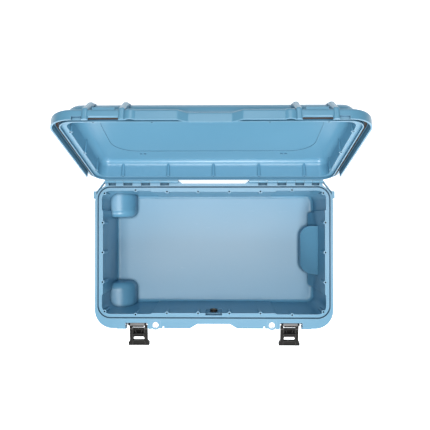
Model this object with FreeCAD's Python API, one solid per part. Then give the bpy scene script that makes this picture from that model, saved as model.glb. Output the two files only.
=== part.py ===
import FreeCAD, Part
import math
import os

# A rolling, carry-on sized hard case, lying flat with its lid open.
# Lengths are millimetres and angles degrees. X runs along the case, the latches face -Y, the hinges
# face +Y and +Z is up. The origin is on the ground, under the middle of the opening.

Vector = FreeCAD.Vector

# Case body
opening_length = 519.6
opening_width = 286.0
opening_corner = 20.0
rim_height = 183.0
base_depth = 149.0
lid_depth = 37.5
shell_wall = 4.0
wall_lean_share = 0.032
floor_round = 10.0
base_edge_round = 8.0
overrun = 6.0
wall_bite = 2.0
touch = 0.01

# Rim flange of the base, as reaches outwards from the opening
side_reach = 16.2
front_reach = 33.2
back_reach = 16.6
flange_thick = 8.0
front_corner = 42.0
back_corner = 44.0
groove_offset = 6.8
groove_width = 3.4
groove_depth = 5.0
grip_cut_mouth = 109.8
grip_cut_flat = 75.0
grip_cut_depth = 10.4
grip_cut_round = 7.0

# Thicker middles of the base walls, their lengths as shares of the opening
pad_thick = 2.4
long_pad_share = 0.558
short_pad_share = 0.689
pad_round = 2.0

# Bezel screw holes round the opening: columns and pitch as shares of it, rows from its edge
bezel_column_shares = [0.0697, 0.2086, 0.3491]
bezel_pitch_share = 0.2413
bezel_middle_inset = 2.0
bezel_outer_reach = 1.5
bezel_corner_inset = (6.2, 5.7)
bezel_end_inset = 1.6
bezel_boss_radius = 4.2
bezel_boss_length = 42.0
bezel_hole_radius = 2.0
bezel_hole_depth = 14.0

# Wheels, placed from the end, the side and the floor
wheel_radius = 34.0
wheel_end_inset = 16.8
wheel_side_inset = 28.2
wheel_rise = 26.0
tyre_width = 24.0
tyre_round = 5.0
tyre_thick = 7.0
hub_web = 8.0
hub_boss_radius = 12.5
hub_width = 26.0
hub_rim_thick = 4.0
hub_hole_radius = 3.6
hub_holes = 6
bearing_radius = 9.5
bearing_width = 6.0
axle_radius = 4.0
axle_head_radius = 7.0
axle_head_thick = 2.5
running_clearance = 0.05
well_clearance = 4.5
well_roof = 3.5
well_width = 56.5
well_cheek = 4.0
well_round = 18.0
well_boss_radius = 8.0
wheel_side_gap = 0.5
ramp_run = 36.0

# Pocket for the pull handle in the right end
pocket_reach = 37.0
pocket_side_rise = 30.0
pocket_rise = 71.0
pocket_corner = 26.0
pocket_tube_gap = 15.0
shoulder_margin = 4.0
shoulder_reach = 14.0
shoulder_side_rise = 3.0
shoulder_rise = 38.0
shoulder_corner = 5.0

# Underside tray that holds the pull handle's tubes, as insets from the opening
floor_thick = 4.0
tray_side_inset = 53.0
tray_left_inset = 63.8
tray_right_inset = 25.8
recess_right_inset = 12.0
cover_thick = 3.0
cover_lap = 6.0
cover_gap = 0.3
cover_right_inset = 56.8
cover_bead_width = 8.0
cover_bead_share = 0.53
cover_bead_rise = 2.0
spine_thick = 4.0
spine_gap = 22.0
cross_rib_count = 4
waffle_wall = 4.0
waffle_columns = 6
waffle_side_inset = 16.0
waffle_left_gap = 10.0
waffle_right_inset = 13.8

# Pull handle
tube_inset = 15.0
tube_drop = 13.5
tube_size = (24.0, 16.0)
tube_corner = 5.0
tube_wall = 1.5
tube_gap = 0.3
tube_end_gap = 6.0
tube_mouth_gap = 8.0
stage_step = 6.0
guide_gap = 3.0
guide_width = 32.0
guide_drop = 1.5
foot_length = 18.0
pull_grip_inset = 2.0
pull_grip_reach = 21.0
pull_grip_low = 3.0
pull_grip_gap = 2.0
pull_grip_round = 8.0
pull_grip_socket = 16.0
button_width = 44.0
button_height = 13.0
button_depth = 9.0
button_proud = 1.2
button_round = 4.0
button_gap = 0.35
button_travel = 4.0
screw_radius = 2.0
screw_length = 12.0
screw_head_radius = 3.8
screw_head_rise = 2.2
screw_drive_radius = 1.3
cover_screw_count = 5
cover_screw_left = 16.0
cover_screw_right = 23.0

# Latches
latch_end_inset = 80.4
latch_notch = 52.0
latch_notch_reach = 20.3
latch_ear_proud = 4.7
latch_ear_outer = 22.0
latch_ear_inner = 8.0
latch_ear_drop = 48.0
latch_pivot_inset = 6.7
latch_pivot_drop = 17.5
latch_pin_radius = 2.0
latch_pin_bite = 7.0
latch_open_turn = 100.0
lever_barrel = 4.0
lever_inner = 11.8
lever_thick = 5.0
lever_top = 59.0
lever_lip_low = 44.5
lever_lip_proud = 3.8
lever_rail_inside = 14.4
lever_rail_outside = 21.5
lever_lip_half = 25.0
lever_lip_flare = 7.0
lever_lip_recess = 1.2
lever_lip_rim = 2.6
lever_leg_top = 3.6
lever_bar_reach = 8.0
lever_arch_low = 34.4
lever_arch_thick = 2.4
lever_arch_rim = 1.6
lever_arch_round = 6.0
claw_half = 14.0
claw_pin = (14.0, 17.0)
claw_pin_radius = 1.5
claw_knuckle = 2.8
claw_top = 32.5
claw_tip = (1.5, 5.2)
claw_tip_low = 25.6
claw_bridge_low = 28.7
claw_pocket = (18.6, 27.6)
claw_pocket_depth = 2.4
claw_pocket_half = 12.2
claw_rib_foot = 8.8
claw_rib_head = 5.4
claw_rib_thick = 1.8
lock_half = 7.0
lock_pad_thick = 2.0
lock_pad_rise = 6.4
lock_stem_half = 4.0
lock_stem_height = 3.0
lock_travel = 5.0
lock_gap = 0.3

# Padlock eyes
eye_latch_gap = 44.8
eye_inset = 7.6
eye_bore_radius = 6.0
eye_wall = 1.0
eye_collar_radius = 8.6
eye_collar_thick = 1.0
eye_lobe_radius = 10.8
eye_slot_gap = 17.6
eye_slot_width = 4.0
eye_slot_depth = 5.0

# Lid
lid_inset = 2.4
lid_gap = 0.4
skirt_gap = 1.0
skirt_wall = 3.0
skirt_drop = 13.0
skirt_end_inset = 36.0
skirt_notch_rise = 6.0
skirt_notch_run = 27.3
lid_flange_thick = 7.0
lid_flange_round = 6.0
lid_back_corner = 38.0
lid_lean_share = 0.07
crown_corner = 27.0
crown_round = 22.0
crown_thick = 3.5
ceiling_round = 15.0
ridge_width = 2.2
ridge_drop = 4.0
gasket_offset = 10.5
gasket_width = 5.2
gasket_depth = 4.5
gasket_face_gap = 0.4
gasket_lip = 0.2
panel_end_inset = 39.8
panel_front_inset = 38.0
panel_back_inset = 56.0
panel_corner = 56.0
panel_rise = 4.5
panel_edge_round = 3.0
panel_sink = 1.0
panel_step = 5.0
ceiling_stud_share = 0.298
ceiling_stud_inset = 46.0
ceiling_stud_pitch = 9.0
ceiling_stud_radius = 2.4
ceiling_stud_rise = 2.0
lid_rib_offset = 31.0
lid_rib_thick = 11.0
lid_rib_round = 4.0
lid_rib_top = 46.0
lid_rib_proud = 2.0
catch_half = 19.0
catch_thick = 3.4
catch_rise = 3.1
catch_round = 1.2
catch_proud = 2.8
lid_boss_shares = [-0.396, -0.198, 0, 0.198, 0.396]
lid_boss_radius = 4.0
lid_boss_length = 30.0
lid_boss_end_share = 0.35

# Hinges
hinge_axis_reach = 7.4
hinge_barrel_radius = 6.0
hinge_pin_radius = 2.5
hinge_fit = 0.02
hinge_gap = 0.5
hinge_drop = 42.0
hinge_start_inset = 177.8
hinge_end_inset = 7.8
knuckle_spans = [(21.6, 41.8), (65.8, 86.0), (107.1, 127.2), (145.5, 161.7)]
hinge_wedge = 12.0
lid_arm_reach = 18.0
heel_length = 10.5
heel_thick = 5.0
stop_height = 3.0
stop_reach = 2.3
lid_open_turn = 105.0
tab_reach = 3.5
tab_inset = 18.4
tab_length = 17.4
tab_drop = 13.0
corner_rib_thick = 2.6
corner_rib_drop = 12.0

# Ribs under the rim on the ends
end_rib_thick = 4.0
end_rib_drop = 60.0

# Carry handle
handle_pivot_reach = 14.0
handle_pivot_drop = 35.0
handle_pin_radius = 3.0
handle_lug_radius = 7.0
handle_lug_thick = 8.0
handle_lug_inside = 72.0
handle_arm_outside = 71.5
handle_arm_thick = 11.0
handle_reach = 47.0
handle_bar_height = 17.0
handle_bar_thick = 17.0
handle_round = 7.0
handle_grip_half = 50.0
handle_grip_skin = 2.0
handle_rib_pitch = 10.0
handle_rib_width = 4.0
handle_rib_cut = 0.8

# Pressure valve
valve_drop = 29.0
valve_radius = 5.0
valve_cap_radius = 8.0
valve_cap_thick = 3.5
valve_nut_radius = 9.0
valve_nut_thick = 6.0
valve_seal_thick = 1.2
valve_seal_radius = 7.4
valve_vent_radius = 3.0
valve_vent_proud = 1.2
valve_scallop_half = 19.0
valve_scallop_depth = 2.8
valve_scallop_drop = 14.0

# Places that follow from the sizes above
half_length = opening_length / 2
half_width = opening_width / 2
floor_z = rim_height - base_depth
floor_under = floor_z - floor_thick
flange_low = rim_height - flange_thick
flange_half = half_length + side_reach
front_edge = -(half_width + front_reach)
back_edge = half_width + back_reach
outer_length = half_length + shell_wall
outer_width = half_width + shell_wall
long_pad_length = opening_length * long_pad_share
short_pad_length = opening_width * short_pad_share
bezel_columns = [opening_length * share for share in bezel_column_shares]
bezel_middle_row = half_width - bezel_middle_inset
bezel_outer_row = half_width + bezel_outer_reach
bezel_corner = (half_length - bezel_corner_inset[0], half_width - bezel_corner_inset[1])
bezel_end_column = half_length - bezel_end_inset
bezel_end_pitch = opening_width * bezel_pitch_share
floor_lean = base_depth * wall_lean_share
wheel_place = (wheel_end_inset - half_length, half_width - floor_lean - wheel_side_inset,
               floor_z + wheel_rise)
tray_half = half_width - tray_side_inset
tray_left = tray_left_inset - half_length
tray_right = half_length - tray_right_inset
recess_right = half_length - recess_right_inset
cover_right = half_length - cover_right_inset
tube_place = tray_half - tube_inset
tube_height = floor_under - tube_drop
outer_tube_left = tray_left + tube_end_gap
outer_tube_right = tray_right - tube_mouth_gap
spine_place = tube_place - spine_gap
waffle_left = tray_left + waffle_left_gap
waffle_right = half_length - waffle_right_inset
guide_left = cover_right + guide_gap
guide_right = tray_right - cover_gap
guide_top = floor_under - guide_drop
pocket_width = (tube_place - pocket_tube_gap) * 2
shoulder_width = (tray_half + shoulder_margin) * 2
grip_left = guide_right + pull_grip_gap
grip_right = grip_left + pull_grip_reach
latch_place = half_length - latch_end_inset
latch_notch_edge = half_width + latch_notch_reach
latch_ear_front = front_edge - latch_ear_proud
latch_pivot = (front_edge + latch_pivot_inset, rim_height - latch_pivot_drop)
lock_pad_low = lever_top - lock_pad_rise
eye_place = (latch_place - eye_latch_gap, front_edge + eye_inset)
lid_half_length = half_length - lid_inset
lid_half_width = half_width - lid_inset
lid_outer_length = lid_half_length + shell_wall
lid_outer_width = lid_half_width + shell_wall
lid_seat = rim_height + lid_gap
lid_flange_top = lid_seat + lid_flange_thick
lid_top = rim_height + lid_depth + crown_thick
lid_ceiling = rim_height + lid_depth
skirt_low = rim_height - skirt_drop
skirt_grow = skirt_gap + skirt_wall
skirt_end = half_width - skirt_end_inset
catch_front = front_edge - catch_proud
hinge_axis_y = back_edge + hinge_axis_reach
hinge_start = half_length - hinge_start_inset
hinge_end = half_length - hinge_end_inset
lid_knuckles = [(hinge_start + low, hinge_start + high) for low, high in knuckle_spans]
tab_span = (half_width - tab_inset, half_width - tab_inset + tab_length)
handle_pivot = (-half_width - handle_pivot_reach, rim_height - handle_pivot_drop)
valve_place = (0, rim_height - valve_drop)
axis_x = Vector(1, 0, 0)
axis_y = Vector(0, 1, 0)
axis_z = Vector(0, 0, 1)


def lean_at(z):
    """How far a base wall has moved inwards at height z."""
    return (rim_height - z) * wall_lean_share


def rounded_wire(corners, place):
    """A closed wire through corners of (u, v, radius), put in space by place."""
    turns = []
    for index, (u, v, radius) in enumerate(corners):
        here = Vector(u, v, 0)
        before = Vector(*corners[index - 1][:2], 0) - here
        after = Vector(*corners[(index + 1) % len(corners)][:2], 0) - here
        half = before.getAngle(after) / 2
        inward = before.normalize() + after.normalize()
        if radius == 0:
            turns.append((here, here, here))
            continue
        centre = here + inward.normalize() * (radius / math.sin(half))
        tangent = radius / math.tan(half)
        middle = centre + (here - centre).normalize() * radius
        turns.append((here + before * tangent, middle, here + after * tangent))
    edges = []
    for index, (start, middle, end) in enumerate(turns):
        if not start.isEqual(end, Part.Precision.confusion()):
            edges.append(Part.Arc(place(start), place(middle), place(end)).toShape())
        following = turns[(index + 1) % len(turns)][0]
        if not end.isEqual(following, Part.Precision.confusion()):
            edges.append(Part.makeLine(place(end), place(following)))
    return Part.Wire(edges)


def slab_x(corners, low, high):
    """A prism along X from a profile of (y, z, radius) corners."""
    wire = rounded_wire(corners, lambda p: Vector(low, p.x, p.y))
    return Part.Face(wire).extrude(axis_x * (high - low))


def slab_y(corners, low, high):
    """A prism along Y from a profile of (x, z, radius) corners."""
    wire = rounded_wire(corners, lambda p: Vector(p.x, low, p.y))
    return Part.Face(wire).extrude(axis_y * (high - low))


def slab_z(corners, low, high):
    """A prism along Z from a profile of (x, y, radius) corners."""
    wire = rounded_wire(corners, lambda p: Vector(p.x, p.y, low))
    return Part.Face(wire).extrude(axis_z * (high - low))


def tapered(low_corners, high_corners, low, high):
    """A solid between two like outlines at heights low and high."""
    wires = [rounded_wire(low_corners, lambda p: Vector(p.x, p.y, low)),
             rounded_wire(high_corners, lambda p: Vector(p.x, p.y, high))]
    return Part.makeLoft(wires, True, True)


def rectangle(half_x, half_y, radius):
    return [(-half_x, -half_y, radius), (half_x, -half_y, radius),
            (half_x, half_y, radius), (-half_x, half_y, radius)]


def span(x0, x1, y0, y1, radius=0):
    return [(x0, y0, radius), (x1, y0, radius), (x1, y1, radius), (x0, y1, radius)]


def box(x0, x1, y0, y1, z0, z1):
    return Part.makeBox(x1 - x0, y1 - y0, z1 - z0, Vector(x0, y0, z0))


def rod(radius, start, end):
    start = Vector(*start)
    reach = Vector(*end) - start
    return Part.makeCylinder(radius, reach.Length, start, reach)


def joined(shapes):
    return shapes[0].multiFuse(shapes[1:]).removeSplitter()


def mirrored_x(shape):
    return shape.mirror(Vector(0, 0, 0), axis_x)


def mirrored_y(shape):
    return shape.mirror(Vector(0, 0, 0), axis_y)


def both_ends(shape):
    return [shape, mirrored_x(shape)]


def both_sides(shape):
    return [shape, mirrored_y(shape)]


def rounded_at(shape, radius, chosen):
    """Fillets the edges of shape that chosen picks by their bounding box."""
    return shape.makeFillet(radius, [edge for edge in shape.Edges if chosen(edge.BoundBox)])


def level(z):
    """Picks edges that lie flat at height z."""
    def chosen(limits):
        return abs(limits.ZMin - z) < touch and limits.ZLength < touch
    return chosen


def turned(shape, pivot, angle):
    """A copy of shape turned about the X axis through pivot, given as (y, z)."""
    copy = shape.copy()
    copy.rotate(Vector(0, *pivot), axis_x, angle)
    return copy


# Outlines that the base and the lid share

def flange_outline(grow, hinge_corner):
    """The rim flange with its grip cut-out; grow moves all but the hinge side outwards."""
    half = flange_half + grow
    front = front_edge - grow
    mouth, flat = grip_cut_mouth / 2, grip_cut_flat / 2
    deep = front + grip_cut_depth
    return [(-half, front, front_corner + grow), (-mouth, front, grip_cut_round),
            (-flat, deep, grip_cut_round), (flat, deep, grip_cut_round), (mouth, front, grip_cut_round),
            (half, front, front_corner + grow), (half, back_edge, hinge_corner),
            (-half, back_edge, hinge_corner)]


def opening_outline(grow):
    return rectangle(half_length + grow, half_width + grow, opening_corner + grow)


def rim_ring(offset, width, low, high):
    """A ring that follows the opening at an offset from its edge."""
    outer = slab_z(opening_outline(offset + width), low, high)
    return outer.cut(slab_z(opening_outline(offset), low, high))


def eye_lobes(radius, low, high):
    x, y = eye_place
    return both_ends(rod(radius, (x, y, low), (x, y, high)))


# Base shell

def base_walls():
    sink = lean_at(0)
    low = rectangle(outer_length - sink, outer_width - sink, opening_corner + shell_wall)
    high = rectangle(outer_length, outer_width, opening_corner + shell_wall)
    return rounded_at(tapered(low, high, 0, rim_height), base_edge_round, level(0))


def base_inside():
    top = rim_height + overrun
    sink, rise = lean_at(floor_z), lean_at(top)
    low = rectangle(half_length - sink, half_width - sink, opening_corner)
    high = rectangle(half_length - rise, half_width - rise, opening_corner)
    space = rounded_at(tapered(low, high, floor_z, top), floor_round, level(floor_z))
    return space.cut(wall_pads(top, sink, rise))


def wall_pads(top, sink, rise):
    """The thicker middles of the four walls, leaning with them."""
    pads = []
    for side in (-1, 1):
        long_pad, short_pad = [], []
        for lean in (sink, rise):
            y = side * (half_width - lean)
            x = side * (half_length - lean)
            long_pad.append(span(-long_pad_length / 2, long_pad_length / 2, y - pad_thick, y + pad_thick,
                                 pad_round))
            short_pad.append(span(x - pad_thick, x + pad_thick, -short_pad_length / 2,
                                  short_pad_length / 2, pad_round))
        pads += [tapered(*long_pad, floor_z, top), tapered(*short_pad, floor_z, top)]
    x, z = valve_place
    scallop = box(x - valve_scallop_half, x + valve_scallop_half, -outer_width, -half_width + overrun * 2,
                  z - valve_nut_radius * 2, top + overrun)
    return [pad.cut(scallop) for pad in pads]


def base_flange():
    """The flange with its lobes, latch notches and hinge side tabs."""
    plate = slab_z(flange_outline(0, back_corner), flange_low, rim_height)
    tab = box(flange_half - tab_reach, flange_half + tab_reach, *tab_span, rim_height - tab_drop, rim_height)
    rib = slab_z(corner_rib_outline(), rim_height - corner_rib_drop, rim_height - wall_bite)
    plate = joined([plate] + eye_lobes(eye_lobe_radius, flange_low, rim_height)
                   + both_ends(tab) + both_ends(rib))
    notch = box(latch_place - latch_notch / 2, latch_place + latch_notch / 2,
                front_edge - overrun, -latch_notch_edge, flange_low - overrun, rim_height + overrun)
    slot_left = eye_place[0] - eye_slot_gap - eye_slot_width / 2
    slot = box(slot_left, slot_left + eye_slot_width, front_edge - overrun, front_edge + eye_slot_depth,
               flange_low - overrun, rim_height + overrun)
    eyes = eye_lobes(eye_bore_radius + eye_wall, flange_low - overrun, rim_height + overrun)
    return plate.cut(both_ends(notch) + both_ends(slot) + eyes)


def rim_groove():
    return rim_ring(groove_offset, groove_width, rim_height - groove_depth, rim_height + overrun)


def corner_rib_outline():
    """The thin slanted rib that joins the last hinge ear to the side tab."""
    start = Vector(hinge_end - corner_rib_thick, hinge_axis_y + hinge_barrel_radius / 2, 0)
    end = Vector(flange_half + tab_reach / 2, sum(tab_span) / 2, 0)
    aside = (end - start).cross(axis_z).normalize() * (corner_rib_thick / 2)
    return [(p.x, p.y, 0) for p in (start - aside, end - aside, end + aside, start + aside)]


def latch_ears():
    """The two ears that carry a latch pin, each tapering down the front wall."""
    top = skirt_low - hinge_gap
    inside = -half_width - wall_bite
    profile = [(inside, flange_low + wall_bite, 0), (front_edge + skirt_gap, flange_low + wall_bite, 0),
               (front_edge + skirt_gap, top, 0), (latch_ear_front, top, wall_bite),
               (latch_ear_front, top - latch_ear_drop / 4, overrun),
               (inside, top - latch_ear_drop, 0)]
    inner_face = latch_place - latch_notch / 2
    outer_face = latch_place + latch_notch / 2
    ears = [slab_x(profile, inner_face - latch_ear_inner, inner_face),
            slab_x(profile, outer_face, outer_face + latch_ear_outer)]
    y, z = latch_pivot
    bore = rod(latch_pin_radius + hinge_fit, (inner_face - latch_pin_bite, y, z),
               (outer_face + latch_pin_bite, y, z))
    return [ear.cut(bore) for ear in ears]


def base_knuckles():
    """Hinge ears between the lid's knuckles, with gussets, a tapered inner end and lid stops."""
    edges = [hinge_start] + [edge for pair in lid_knuckles for edge in pair] + [hinge_end]
    inside = half_width + wall_bite
    gusset = [(inside, rim_height - hinge_drop, 0), (inside, rim_height, 0), (hinge_axis_y, rim_height, 0),
              (hinge_axis_y + hinge_barrel_radius / 2, rim_height - hinge_barrel_radius / 2, 0)]
    pieces = []
    for index in range(0, len(edges), 2):
        start = edges[index] + (hinge_gap if index else 0)
        end = edges[index + 1] - (hinge_gap if edges[index + 1] != hinge_end else 0)
        pieces.append(slab_x(gusset, start, end))
        pieces.append(rod(hinge_barrel_radius, (start, hinge_axis_y, rim_height),
                          (end, hinge_axis_y, rim_height)))
    wedge = slab_z([(hinge_start - hinge_wedge, back_edge - wall_bite, 0),
                    (hinge_start + wall_bite, back_edge - wall_bite, 0),
                    (hinge_start + wall_bite, hinge_axis_y, 0), (hinge_start, hinge_axis_y, 0)],
                   flange_low, rim_height)
    stops = [box(*pair, back_edge - overrun, back_edge + stop_reach, flange_low, flange_low + stop_height)
             for pair in lid_knuckles]
    return joined(pieces + [wedge] + stops)


def base_hinge_bore():
    return rod(hinge_pin_radius + hinge_fit, (hinge_start + shell_wall, hinge_axis_y, rim_height),
               (hinge_end + overrun, hinge_axis_y, rim_height))


def end_ribs():
    """Gussets under the rim on the two ends."""
    inside = half_length + wall_bite
    profile = [(inside, rim_height - end_rib_drop, 0), (flange_half - side_reach / 4, flange_low, 0),
               (flange_half - side_reach / 4, flange_low + wall_bite, 0), (inside, flange_low + wall_bite, 0)]
    ribs = []
    for y in (-bezel_end_pitch, 0, bezel_end_pitch):
        ribs += both_ends(slab_y(profile, y - end_rib_thick / 2, y + end_rib_thick / 2))
    return ribs


def handle_lugs():
    y, z = handle_pivot
    low = z - handle_lug_radius * 2
    profile = [(-half_width - wall_bite, low, 0), (y - handle_lug_radius, z - handle_lug_radius,
                                                   handle_lug_radius),
               (y - handle_lug_radius, z + handle_lug_radius, handle_lug_radius),
               (-half_width - wall_bite, z + handle_lug_radius * 2, 0)]
    lug = slab_x(profile, handle_lug_inside, handle_lug_inside + handle_lug_thick)
    bore = rod(handle_pin_radius + hinge_fit, (handle_lug_inside - overrun, y, z),
               (handle_lug_inside + handle_lug_thick + overrun, y, z))
    return both_ends(lug.cut(bore))


def well_cover():
    """The vault over a wheel, seen from inside the case."""
    x, y, z = wheel_place
    radius = wheel_radius + well_clearance + well_roof
    inner = half_width - lean_at(floor_z) - well_width
    outer = half_width
    vault = rod(radius, (x, inner, z), (x, outer, z))
    sides = box(-half_length - wall_bite, x + radius, inner, outer, floor_under, z)
    corner = box(-half_length - wall_bite, x, inner, outer, z, z + radius)
    cover = joined([vault, sides, corner.common(rod(radius * 2, (x + radius, inner, z),
                                                    (x + radius, outer, z)))])
    keep = box(-half_length - wall_bite, half_length, inner, outer, floor_under, rim_height)
    return rounded_at(cover.common(keep), well_round, well_edge(inner))


def well_edge(inner):
    """Picks the edges of a wheel well's inner cheek that the vault meets."""
    def chosen(limits):
        return (limits.YLength < touch and abs(limits.YMin - inner) < touch
                and limits.XMax > wheel_place[0] + touch and limits.ZMax > floor_z)
    return chosen


def well_space():
    """The space round a wheel, open at the end wall and the ramp."""
    x, y, z = wheel_place
    radius = wheel_radius + well_clearance
    inner = half_width - lean_at(floor_z) - well_width + well_cheek
    outer = half_width - lean_at(floor_z) - wall_bite / 4
    vault = rod(radius, (x, inner, z), (x, outer, z))
    mouth = box(-flange_half - overrun, x, inner, outer, -overrun, z + radius)
    below = box(x, x + radius, inner, outer, -overrun, z)
    space = rounded_at(joined([vault, mouth, below]), well_round - well_cheek, well_edge(inner))
    half = hub_width / 2 + wheel_side_gap
    bosses = [rod(well_boss_radius, (x, inner - wall_bite, z), (x, y - half, z)),
              rod(well_boss_radius, (x, y + half, z), (x, outer + wall_bite, z))]
    return space.cut(bosses)


def axle_bore():
    x, y, z = wheel_place
    inner = half_width - lean_at(floor_z) - well_width + well_cheek
    return rod(axle_radius + hinge_fit, (x, inner, z), (x, outer_width + overrun, z))


def pocket_profile(reach, side_rise, rise, wall):
    """Half section of a sloped pocket in the right end: wall 0 is its inside, a wall's width its outside."""
    inner = half_length - lean_at(floor_z) - reach
    slope = (rise - side_rise) / reach
    steep = math.hypot(1, slope)
    side = floor_z + side_rise - wall * (steep - slope)
    far = flange_half + overrun if wall else half_length + wall_bite
    low = -overrun if wall else floor_under
    far_top = floor_z + side_rise + (far - inner) * slope - wall * steep
    return [(inner + wall, low, 0), (far, low, 0), (far, far_top, 0), (inner + wall, side, wall_bite)]


def pocket_parts(wall):
    """The D-shaped finger pocket and its lower shoulders."""
    parts = []
    for width, reach, side_rise, rise, corner in (
            (pocket_width, pocket_reach, pocket_side_rise, pocket_rise, pocket_corner),
            (shoulder_width, shoulder_reach, shoulder_side_rise, shoulder_rise, shoulder_corner)):
        profile = pocket_profile(reach, side_rise, rise, wall)
        half = width / 2 - wall
        part = slab_y(profile, -half, half)
        inner, far = profile[0][0], profile[1][0]
        plan = slab_z([(inner, -half, corner - wall), (far, -half, 0), (far, half, 0),
                       (inner, half, corner - wall)],
                      -overrun * 2, rim_height)
        parts.append(part.common(plan))
    return parts


def bezel_places():
    places = [(x, bezel_outer_row if x == bezel_columns[-1] else bezel_middle_row) for x in bezel_columns]
    places += [bezel_corner, (bezel_end_column, bezel_end_pitch), (bezel_end_column, 0)]
    return sorted({(sx * x, sy * y) for x, y in places for sx in (-1, 1) for sy in (-1, 1)})


def bezel_bosses():
    """A boss below each bezel screw hole, fading into the leaning wall."""
    low = rim_height - bezel_boss_length
    return [rod(bezel_boss_radius, (x, y, low), (x, y, rim_height)) for x, y in bezel_places()]


def bezel_holes():
    return [rod(bezel_hole_radius, (x, y, rim_height - bezel_hole_depth), (x, y, rim_height + overrun))
            for x, y in bezel_places()]


def underside_cuts():
    """The tube tray, the cover's seat and the ribbed pockets beside it."""
    half = tray_half
    tray = box(tray_left, recess_right, -half, half, -overrun, floor_under)
    spines = [box(tray_left, cover_right - guide_gap, side * spine_place - spine_thick / 2,
                  side * spine_place + spine_thick / 2, cover_thick, floor_under) for side in (-1, 1)]
    rib_pitch = (cover_right - guide_gap - tray_left) / (cross_rib_count + 1)
    ribs = []
    for index in range(1, cross_rib_count + 1):
        x = tray_left + index * rib_pitch
        ribs.append(box(x - spine_thick / 2, x + spine_thick / 2, -spine_place, spine_place, cover_thick,
                        floor_under))
    posts, holes = cover_posts()
    seat = box(tray_left - cover_lap, cover_right + cover_gap, -half - cover_lap, half + cover_lap,
               -overrun, cover_thick)
    pitch = (waffle_right - waffle_left + waffle_wall) / waffle_columns
    waffle = []
    for column in range(waffle_columns):
        start = waffle_left + column * pitch
        waffle += both_sides(box(start, start + pitch - waffle_wall, half + cover_lap + waffle_wall,
                                 half_width - waffle_side_inset, -overrun, floor_under))
    return [tray.cut(spines + ribs + posts), seat] + holes + waffle


def cover_screw_places():
    first, last = tray_left + cover_screw_left, cover_right - cover_screw_right
    pitch = (last - first) / (cover_screw_count - 1)
    return [(first + index * pitch, side * spine_place) for index in range(cover_screw_count)
            for side in (-1, 1)]


def cover_posts():
    """Screw posts on the two spines."""
    posts = [rod(screw_head_radius, (x, y, cover_thick), (x, y, floor_under)) for x,
             y in cover_screw_places()]
    holes = [rod(screw_radius + hinge_fit, (x, y, 0), (x, y, screw_length + wall_bite))
             for x, y in cover_screw_places()]
    return posts, holes


def ramp_cut():
    """The slant at the wheel end that lets the case tip onto its wheels."""
    left = -outer_length
    return slab_y([(left - overrun * 4, -overrun, 0), (left + ramp_run + overrun, -overrun, 0),
                   (left - overrun * 4, ramp_run + overrun * 4,
                    0)], -outer_width - overrun, outer_width + overrun)


def valve_hole():
    x, z = valve_place
    return rod(valve_radius + hinge_fit, (x, -outer_width - overrun, z), (x, -half_width + overrun * 2, z))


def base_moulding():
    """The whole base as it is moulded."""
    outside = joined([base_walls(), base_flange()] + latch_ears_both() + both_ends(base_knuckles())
                     + end_ribs() + handle_lugs())
    shell = outside.cut(base_inside())
    inner_forms = both_sides(well_cover()) + pocket_parts(0) + bezel_bosses()
    shell = joined([shell] + inner_forms)
    cuts = both_sides(well_space()) + both_sides(axle_bore()) + pocket_parts(shell_wall) + underside_cuts()
    cuts += bezel_holes() + both_ends(base_hinge_bore())
    cuts += [rim_groove(), ramp_cut(), valve_hole(), valve_scallop()]
    return shell.cut(cuts)


def under_floor():
    """The room below the underside of the floor."""
    return box(-flange_half - overrun, flange_half + overrun, front_edge - overrun * 2,
               back_edge + overrun * 4, -overrun, floor_under)


def lug_room():
    """The part of the flange round one padlock eye."""
    x, y = eye_place
    half = eye_lobe_radius + touch
    return box(x - half, x + half, front_edge - overrun * 2, y + half, flange_low, rim_height + overrun)


def base_shell(moulding):
    """The tub with its flange, down to the underside of the floor."""
    return moulding.cut([under_floor()] + both_ends(lug_room()))


def base_underframe(moulding):
    """The walls, tray and ribs under the floor, a node of their own that meets the tub face to face."""
    return moulding.common(under_floor())


def padlock_lug(moulding):
    """The flange round one padlock eye, a node of its own that fills its room in the tub's flange."""
    return moulding.common(lug_room())


def latch_ears_both():
    ears = latch_ears()
    return ears + [mirrored_x(ear) for ear in ears]


def valve_scallop():
    x = valve_place[0]
    return box(x - valve_scallop_half, x + valve_scallop_half, -half_width - valve_scallop_depth, 0,
               rim_height - valve_scallop_drop, rim_height + overrun)


# Lid, drawn closed and then turned open about the hinge axis

def lid_crown():
    """The outer skin above the flange, with its big top rounding and raised panel."""
    high = lid_top - rim_height
    sink = high * lid_lean_share
    low = rectangle(lid_outer_length, lid_outer_width, crown_corner)
    top = rectangle(lid_outer_length - sink, lid_outer_width - sink, crown_corner)
    skin = rounded_at(tapered(low, top, lid_seat, lid_top), crown_round, level(lid_top))
    panel = slab_z(panel_outline(0), lid_top - panel_rise, lid_top + panel_rise)
    panel = rounded_at(panel, panel_edge_round, level(lid_top + panel_rise))
    return skin.fuse(panel)


def panel_outline(inset):
    half = half_length - panel_end_inset - inset
    return span(-half, half, panel_front_inset - half_width + inset, half_width - panel_back_inset - inset,
                panel_corner - inset)


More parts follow.
